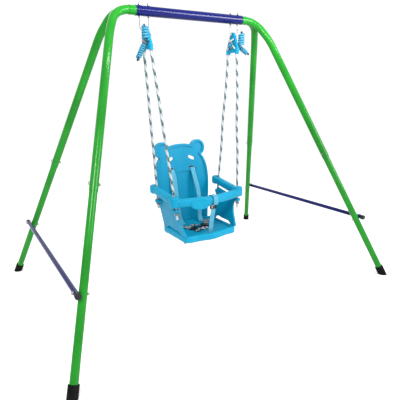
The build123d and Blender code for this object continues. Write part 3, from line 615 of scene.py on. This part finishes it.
def strap_piece(name, line, across, finish, width=WEB_WIDTH, closed=False):
    """A flat band along a line; across(share) is the direction of its width."""
    wide, deep = strap_section()
    count = len(line)
    along = np.gradient(line, axis=0)
    if closed:
        along[0] = along[-1] = line[1] - line[-2]
    travelled = np.concatenate([[0], np.cumsum(np.linalg.norm(np.diff(line, axis=0), axis=1))])
    sides = len(wide)
    vertices = []
    for index, point in enumerate(line):
        direction = along[index] / np.linalg.norm(along[index])
        flat = np.array(across(travelled[index] / travelled[-1]), float)
        flat = flat - direction * flat.dot(direction)
        flat /= np.linalg.norm(flat)
        normal = np.cross(direction, flat)
        for w, d in zip(wide, deep):
            vertices.append(point + flat * w * width / 2 + normal * d * WEB_THICKNESS / 2)
    faces, uvs = [], []
    for ring in range(count - 1):
        for side in range(sides):
            follow = (side + 1) % sides
            low, high = ring * sides, (ring + 1) * sides
            faces.append((low + side, low + follow, high + follow, high + side))
            ends = (wide[side] * width / 2, wide[follow] * width / 2)
            near, far = travelled[ring], travelled[ring + 1]
            uvs += [(ends[0], near), (ends[1], near), (ends[1], far), (ends[0], far)]
    if not closed:
        for base, order in ((0, -1), ((count - 1) * sides, 1)):
            ring = list(range(sides))[::order]
            faces.append(tuple(base + side for side in ring))
            uvs += [(wide[side] * width / 2, travelled[0 if base == 0 else -1]) for side in ring]
    return mesh_piece(name, vertices, faces, uvs, finish)


# ------------------------------------------------------------------ ropes and knots
def rope_point(side, face, z):
    """The point of a rope's straight line at a height."""
    sign = SIDES[side]
    top = Vector((sign * ROPE_TOP[0], FACES[face] * ROPE_TOP[1], ROPE_TOP[2]))
    x, y, rail_z = RAIL_HOLE[face]
    rail = Vector((sign * x, y, rail_z))
    return top + (rail - top) * ((top.z - z) / (top.z - rail_z))


def upper_rope(side, face, finish):
    """From the hanger's socket down to the middle of the rail's barrel, with a slight wave."""
    top = rope_point(side, face, ROPE_TOP[2])
    rail = rope_point(side, face, RAIL_HOLE[face][2])
    route = [top]
    for share, way in ROPE_WAVE:
        drift = ROPE_SWAY[side] * way
        route.append(top.lerp(rail, share) + Vector((drift, -drift * 0.6, 0)))
    route.append(rail)
    line = route_line(route, ROPE_STEP)
    piece = tube_piece(f"rope_run_{face}_{side}", line, ROPE_D / 2, finish,
                       relief=braid_relief(*ROPE_BRAID))
    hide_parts(f"rope_{face}_{side}")
    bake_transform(piece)


def lower_rope(side, face, finish):
    """From the rail's barrel through the seat's lug and its stopper knot to the sealed end."""
    lug_low = LUG_Z[face] - LUG_HALF_HEIGHT
    end_z = lug_low - KNOT_HEIGHT - ROPE_TAIL
    rail = rope_point(side, face, RAIL_HOLE[face][2])
    end = rope_point(side, face, end_z)
    line = route_line([rail, rail.lerp(end, 0.3), rail.lerp(end, 0.6), end], ROPE_STEP)
    piece = tube_piece(f"rope_end_{face}_{side}", line, ROPE_D / 2 * 0.99, finish,
                       relief=braid_relief(*ROPE_BRAID))
    knot = stopper_knot(side, face, finish)
    tip = rope_tip(f"rope_tip_{face}_{side}", end, rail, ROPE_D / 2 + ROPE_TIP_WALL, ROPE_TIP_LENGTH,
                   finish)
    for extra in (knot, tip):
        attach(extra, "swing")
    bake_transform(piece)
    return knot


def hitch_strand(name, route, radius, finish):
    """One thin rope tied on a hanger plate."""
    piece = tube_piece(name, route_line(route, STRAND_STEP), radius, finish, sides=18,
                       relief=braid_relief(*STRAND_BRAID))
    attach(piece, "swing")


def add_outer_hitch(side, finish):
    """Two short strands that cross on the hanger's outer face, under the coil."""
    sign = SIDES[side]
    face_x = sign * (HITCH_OUTER_X + HITCH_OUTER_R)
    sunk_x = face_x - sign * HITCH_SINK
    y, z = HITCH_CROSSING
    reach_y, reach_z = HITCH_REACH
    end_y, end_z = HITCH_END
    for number, slope in enumerate((1, -1)):
        lift = sign * HITCH_OUTER_R * (1.1 + 1.2 * number)
        route = [(sunk_x, y - end_y, z - slope * end_z), (face_x, y - reach_y, z - slope * reach_z),
                 (face_x + lift, y, z), (face_x, y + reach_y, z + slope * reach_z),
                 (sunk_x, y + end_y, z + slope * end_z)]
        hitch_strand(f"hitch_{side}_{number + 1}", route, HITCH_OUTER_R, finish)


def add_inner_hitch(side, finish):
    """On the hanger's inner face, a ring and a bit more round the knob, and two strands across it."""
    sign = SIDES[side]
    ring = []
    for step in range(HITCH_RING_STEPS + 1):
        turns = HITCH_RING_TURNS * step / HITCH_RING_STEPS
        x = HITCH_INNER_X - HITCH_RING_STAND - HITCH_RING_CLIMB * turns
        ring.append((sign * x, HITCH_RING_R * cos(2 * pi * turns),
                     HITCH_RING_Z + HITCH_RING_R * sin(2 * pi * turns)))
    routes = [ring]
    near = HITCH_INNER_X - HITCH_STRAND_STAND
    for way, over in zip((1, -1), HITCH_OVER):
        depths = (near, near, near - over, near - over, near, near + HITCH_DIP)
        routes.append([(sign * x, way * y, z) for x, (y, z) in zip(depths, HITCH_PATH)])
    for number, route in enumerate(routes):
        hitch_strand(f"hitch_inner_{side}_{number + 1}", route, HITCH_INNER_R, finish)


def stopper_knot(side, face, finish):
    """Two snug wraps round the rope, with the working end brought back up across them."""
    start_z = LUG_Z[face] - LUG_HALF_HEIGHT - KNOT_GAP
    top = rope_point(side, face, start_z)
    bottom = rope_point(side, face, start_z - KNOT_HEIGHT)
    route = []
    steps = KNOT_WRAPS * POINTS_PER_TURN
    for step in range(int(steps) + 1):
        share = step / steps
        level = KNOT_STRAND_R + share * (KNOT_HEIGHT - 2 * KNOT_STRAND_R)
        route.append((2 * pi * KNOT_WRAPS * share, KNOT_WRAP_R, level))
    start_turn = route[-1][0]
    for share in KNOT_END_SHARES:
        level = KNOT_HEIGHT - KNOT_STRAND_R - share * (KNOT_HEIGHT - 2.2 * KNOT_STRAND_R)
        reach = KNOT_WRAP_R + KNOT_END_BULGE * sin(pi * share)
        route.append((start_turn + 2 * pi * KNOT_END_TURNS * share, reach, level))
    down = (bottom - top).normalized()
    first = down.orthogonal().normalized()
    second = down.cross(first)
    points = [top + down * level + (first * cos(turn) + second * sin(turn)) * reach
              for turn, reach, level in route]
    line = route_line(points, STRAND_STEP)
    return tube_piece(f"knot_{face}_{side}", line, KNOT_STRAND_R, finish, sides=18,
                      relief=braid_relief(*STRAND_BRAID))


def rope_tip(name, end, before, radius, length, finish):
    """A heat-shrunk sleeve over a cord's end, domed at the tip."""
    end = Vector(end)
    back = (Vector(before) - end).normalized()
    line = route_line([end - back * TIP_OVERHANG, end + back * length * 0.5, end + back * length], TIP_STEP)

    def profile(share):
        rise = min(1.0, share / TIP_DOME)
        return (1 - (1 - rise) ** 2.4) ** 0.5 * (1.0 - 0.05 * share) + 0.02
    return tube_piece(name, line, radius, finish, sides=20, profile=profile)


# ------------------------------------------------------------------ cord coils
def coil_route(top, bottom, turn_radius, turns, phase, scale):
    """A helix down the line from top to bottom; scale(share) varies the radius of its turns."""
    top, bottom = Vector(top), Vector(bottom)
    down = (bottom - top).normalized()
    first = Vector((0, 1, 0))
    first = (first - down * first.dot(down)).normalized()
    second = down.cross(first)
    points = []
    for step in range(int(turns * POINTS_PER_TURN) + 1):
        share = step / (turns * POINTS_PER_TURN)
        turn = phase + 2 * pi * turns * share
        reach = turn_radius * scale(share)
        points.append(top.lerp(bottom, share) + (first * cos(turn) + second * sin(turn)) * reach)
    return points


def add_upper_coil(side, finish, tip_finish):
    """The wound cord that stands beside the U-bolt, its sealed end sticking out on top."""
    sign = SIDES[side]
    x, y = sign * COIL_PLACE[0], COIL_PLACE[1]
    body = coil_route((x, y, COIL_Z[0]), (x, y, COIL_Z[1]), COIL_TURN_R, COIL_TURNS,
                      COIL_START * sign,
                      lambda share: 1 - 0.10 * share)
    last = body[-1]
    end = Vector((x, y, COIL_Z[1] + 0.008))
    line = route_line(body + [last.lerp(end, 0.55) + Vector((0, 0, -0.001)), end], CORD_STEP)
    piece = tube_piece(f"coil_upper_{side}", line, CORD_D / 2, finish, sides=20,
                       relief=braid_relief(*CORD_BRAID))
    tip = rope_tip(f"coil_upper_tip_{side}", line[-1], line[-5], CORD_D / 2 * CORD_TIP_SCALE,
                   CORD_TIP_LENGTH, tip_finish)
    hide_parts(f"upper_coil_{side}")
    for part in (piece, tip):
        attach(part, "swing")


def add_tail_coil(side, finish, tip_finish):
    """The loose tail that slants down and outward, its turns a little uneven."""
    top, bottom = Vector(TAIL_TOP[side]), Vector(TAIL_BOTTOM[side])
    down = (bottom - top).normalized()
    body = coil_route(top + down * 0.005, bottom - down * 0.006, TAIL_TURN_R, TAIL_TURNS, TAIL_START,
                      lambda share: 1.0 - 0.12 * sin(pi * share * 3) ** 2)
    end = bottom + down * 0.003
    line = route_line(body + [body[-1].lerp(end, 0.6), end], CORD_STEP)
    piece = tube_piece(f"coil_tail_{side}", line, TAIL_CORD_D / 2, finish, sides=20,
                       relief=braid_relief(*CORD_BRAID))
    tip = rope_tip(f"coil_tail_tip_{side}", line[-1], line[-5], TAIL_CORD_D / 2 * CORD_TIP_SCALE,
                   CORD_TIP_LENGTH, tip_finish)
    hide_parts(f"tail_coil_{side}")
    for part in (piece, tip):
        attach(part, "swing")


# ------------------------------------------------------------------ harness
def add_shoulder_strap(side, finish):
    """Out of the backrest's lower slot, down the channel and forward over the pan."""
    sign = SIDES[side]
    slack = SHOULDER_SLACK[side]
    route = [(sign * (SHOULDER_X + outward), y - slack * share, z) for outward, y, z, share in SHOULDER_PATH]
    line = route_line(route, STRAP_STEP)
    piece = strap_piece(f"shoulder_webbing_{side}", line,
                        lambda share: (1, sign * 0.10 * sin(pi * share),
                                       -sign * SHOULDER_LEAN * (1 - share) ** 6),
                        finish)
    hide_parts(f"shoulder_strap_{side}")
    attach(piece, "swing")


def add_crotch_strap(finish):
    """From the slider under the rail down to the pan's front slot."""
    low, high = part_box("crotch_strap")
    x = (low.x + high.x) / 2
    route = [(x, high.y + y, z) for y, z in CROTCH_SLOT_PATH]
    route += [(x, low.y + y, z) for y, z in CROTCH_RAIL_PATH]
    route.append((x, low.y + 0.001, high.z - 0.0005))
    line = route_line(route, STRAP_STEP)
    piece = strap_piece("crotch_webbing", line, lambda share: (1, 0.05 * sin(2 * pi * share), 0), finish)
    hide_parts("crotch_strap")
    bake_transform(piece)


def add_crotch_loop(finish):
    """The band that wraps the front of the rail."""
    low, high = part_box("crotch_loop")
    x = (low.x + high.x) / 2
    y, z = (low.y + high.y) / 2, (low.z + high.z) / 2
    half_y = (high.y - low.y) / 2 - LOOP_INSET
    half_z = (high.z - low.z) / 2 - LOOP_INSET
    line = []
    for step in range(LOOP_POINTS + 1):
        turn = 2 * pi * step / LOOP_POINTS + LOOP_START
        line.append((x, y + half_y * np.sign(cos(turn)) * abs(cos(turn)) ** LOOP_SQUARENESS,
                     z + half_z * np.sign(sin(turn)) * abs(sin(turn)) ** LOOP_SQUARENESS))
    line[-1] = line[0]
    piece = strap_piece("crotch_band", np.array(line), lambda share: (1, 0, 0), finish,
                        closed=True)
    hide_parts("crotch_loop")
    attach(piece, "rail")


def add_lap_strap(side, finish):
    """Up out of the pan's slot, folded forward, and across the pan to its half of the buckle."""
    sign = SIDES[side]
    buckle_low, buckle_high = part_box("buckle_socket" if sign > 0 else "buckle_plug")
    middle = (buckle_low + buckle_high) / 2
    slot = Vector((sign * LAP_SLOT[0], *LAP_SLOT[1:]))
    toward = middle - slot
    toward.z = 0
    route = [slot + toward * share + Vector((0, y, rise)) for share, y, rise in LAP_PATH]
    end_share, end_z = LAP_END
    end = slot + toward * end_share
    route.append(Vector((end.x, end.y, end_z)))
    line = route_line(route, STRAP_STEP)
    side_way = Vector((-toward.y, toward.x, 0)).normalized()
    if side_way.x <= 0:
        side_way.negate()
    piece = strap_piece(f"lap_webbing_{side}", line,
                        lambda share: Vector((1, 0, 0)).lerp(side_way, min(1, share * 3.5)),
                        finish)
    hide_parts(f"lap_strap_{side}")
    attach(piece, "swing")


def add_lap_tail(side, finish):
    """The free end of a lap strap beyond its half of the buckle, lying in loose folds on the pan."""
    line = route_line(LAP_TAIL[side], STRAP_STEP)
    piece = strap_piece(f"lap_tail_{side}", line,
                        lambda share: (0.35 * sin(3 * share), 1, 0.25 * sin(2 * pi * share)),
                        finish, width=LAP_TAIL_WIDTH)
    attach(piece, "swing")


# ------------------------------------------------------------------ assembly
FINISH_BY_PREFIX = [  # the first prefix that fits a node's name counts
    ("crossbar", "navy"), ("side_brace", "navy"), ("corner_stub", "green"), ("upper_leg", "green"),
    ("lower_leg", "green"), ("foot_cap", "rubber"), ("brace_caps", "black"), ("joint_", "zinc"),
    ("brace_", "zinc"), ("u_bolt_nuts", "steel"), ("u_bolt", "zinc"), ("hanger_", "blue"),
    ("seat_screws", "zinc"), ("seat_pan", "rail"), ("backrest", "blue"), ("side_panel", "blue"),
    ("guard_rail", "rail"), ("crotch_slider", "black"), ("crotch_anchor", "black"),
    ("strap_keepers", "black"), ("buckle_", "black"),
]


def cad_finishes():
    """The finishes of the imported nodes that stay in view. Colours are linear."""
    return {
        "navy": gloss_paint("navy_paint", colour=(0.0010, 0.0040, 0.080), deep=(0.0008, 0.0030, 0.062),
                            scuff=(0.014, 0.024, 0.120), shine=0.18),
        "green": gloss_paint("green_paint", colour=(0.0108, 0.198, 0.0132), deep=(0.0072, 0.156, 0.0096),
                             scuff=(0.06, 0.252, 0.054), shine=0.16),
        "rubber": rubber("black_rubber"),
        "black": dark_plastic("black_plastic"),
        "zinc": plated_steel("zinc_steel", bright=(0.42, 0.42, 0.41), dull=(0.20, 0.20, 0.20)),
        "steel": plated_steel("dark_steel", bright=(0.20, 0.20, 0.20), dull=(0.07, 0.07, 0.08)),
        "blue": moulded_plastic("seat_blue", colour=(0.0005, 0.215, 0.365), deep=(0.0003, 0.185, 0.320),
                                pale=(0.006, 0.255, 0.405)),
        "rail": moulded_plastic("rail_blue", colour=(0.0035, 0.245, 0.400), deep=(0.0022, 0.210, 0.350),
                                pale=(0.014, 0.290, 0.440)),
    }


def dress_cad():
    """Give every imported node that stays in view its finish."""
    finishes = cad_finishes()
    for name, node in nodes.items():
        if node.hide_render:
            continue
        key = next(finish for prefix, finish in FINISH_BY_PREFIX if name.startswith(prefix))
        node.data.materials.clear()
        node.data.materials.append(finishes[key])


def main():
    add_camera()
    white_rope = flecked_rope("rope", light=(0.420, 0.445, 0.460), dark=(0.036, 0.080, 0.092))
    blue_cord = jacket_cord("blue_cord", colour=(0.045, 0.276, 0.408), deep=(0.012, 0.15, 0.264))
    tip_black = dark_plastic("cord_tip")
    # each webbing's second colour is the painted shade of the weave's hollows
    blue_web = webbing("blue_webbing", WEAVE_PITCH, ((0.090, 0.330, 0.460), (0.030, 0.205, 0.315)))
    striped_web = webbing("striped_webbing", WEAVE_PITCH, ((0.36, 0.396, 0.42), (0.18, 0.21, 0.24)),
                          stripe=(STRIPE_PITCH, (0.004, 0.006, 0.016)))
    for side in SIDES:
        for face in FACES:
            upper_rope(side, face, white_rope)
            lower_rope(side, face, white_rope)
        add_outer_hitch(side, white_rope)
        add_inner_hitch(side, white_rope)
        add_upper_coil(side, blue_cord, tip_black)
        add_tail_coil(side, blue_cord, tip_black)
        add_shoulder_strap(side, blue_web)
        add_lap_strap(side, striped_web)
        add_lap_tail(side, striped_web)
    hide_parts("rope_knots")
    add_crotch_strap(blue_web)
    add_crotch_loop(blue_web)
    dress_cad()
    add_floor()
    add_studio()


main()
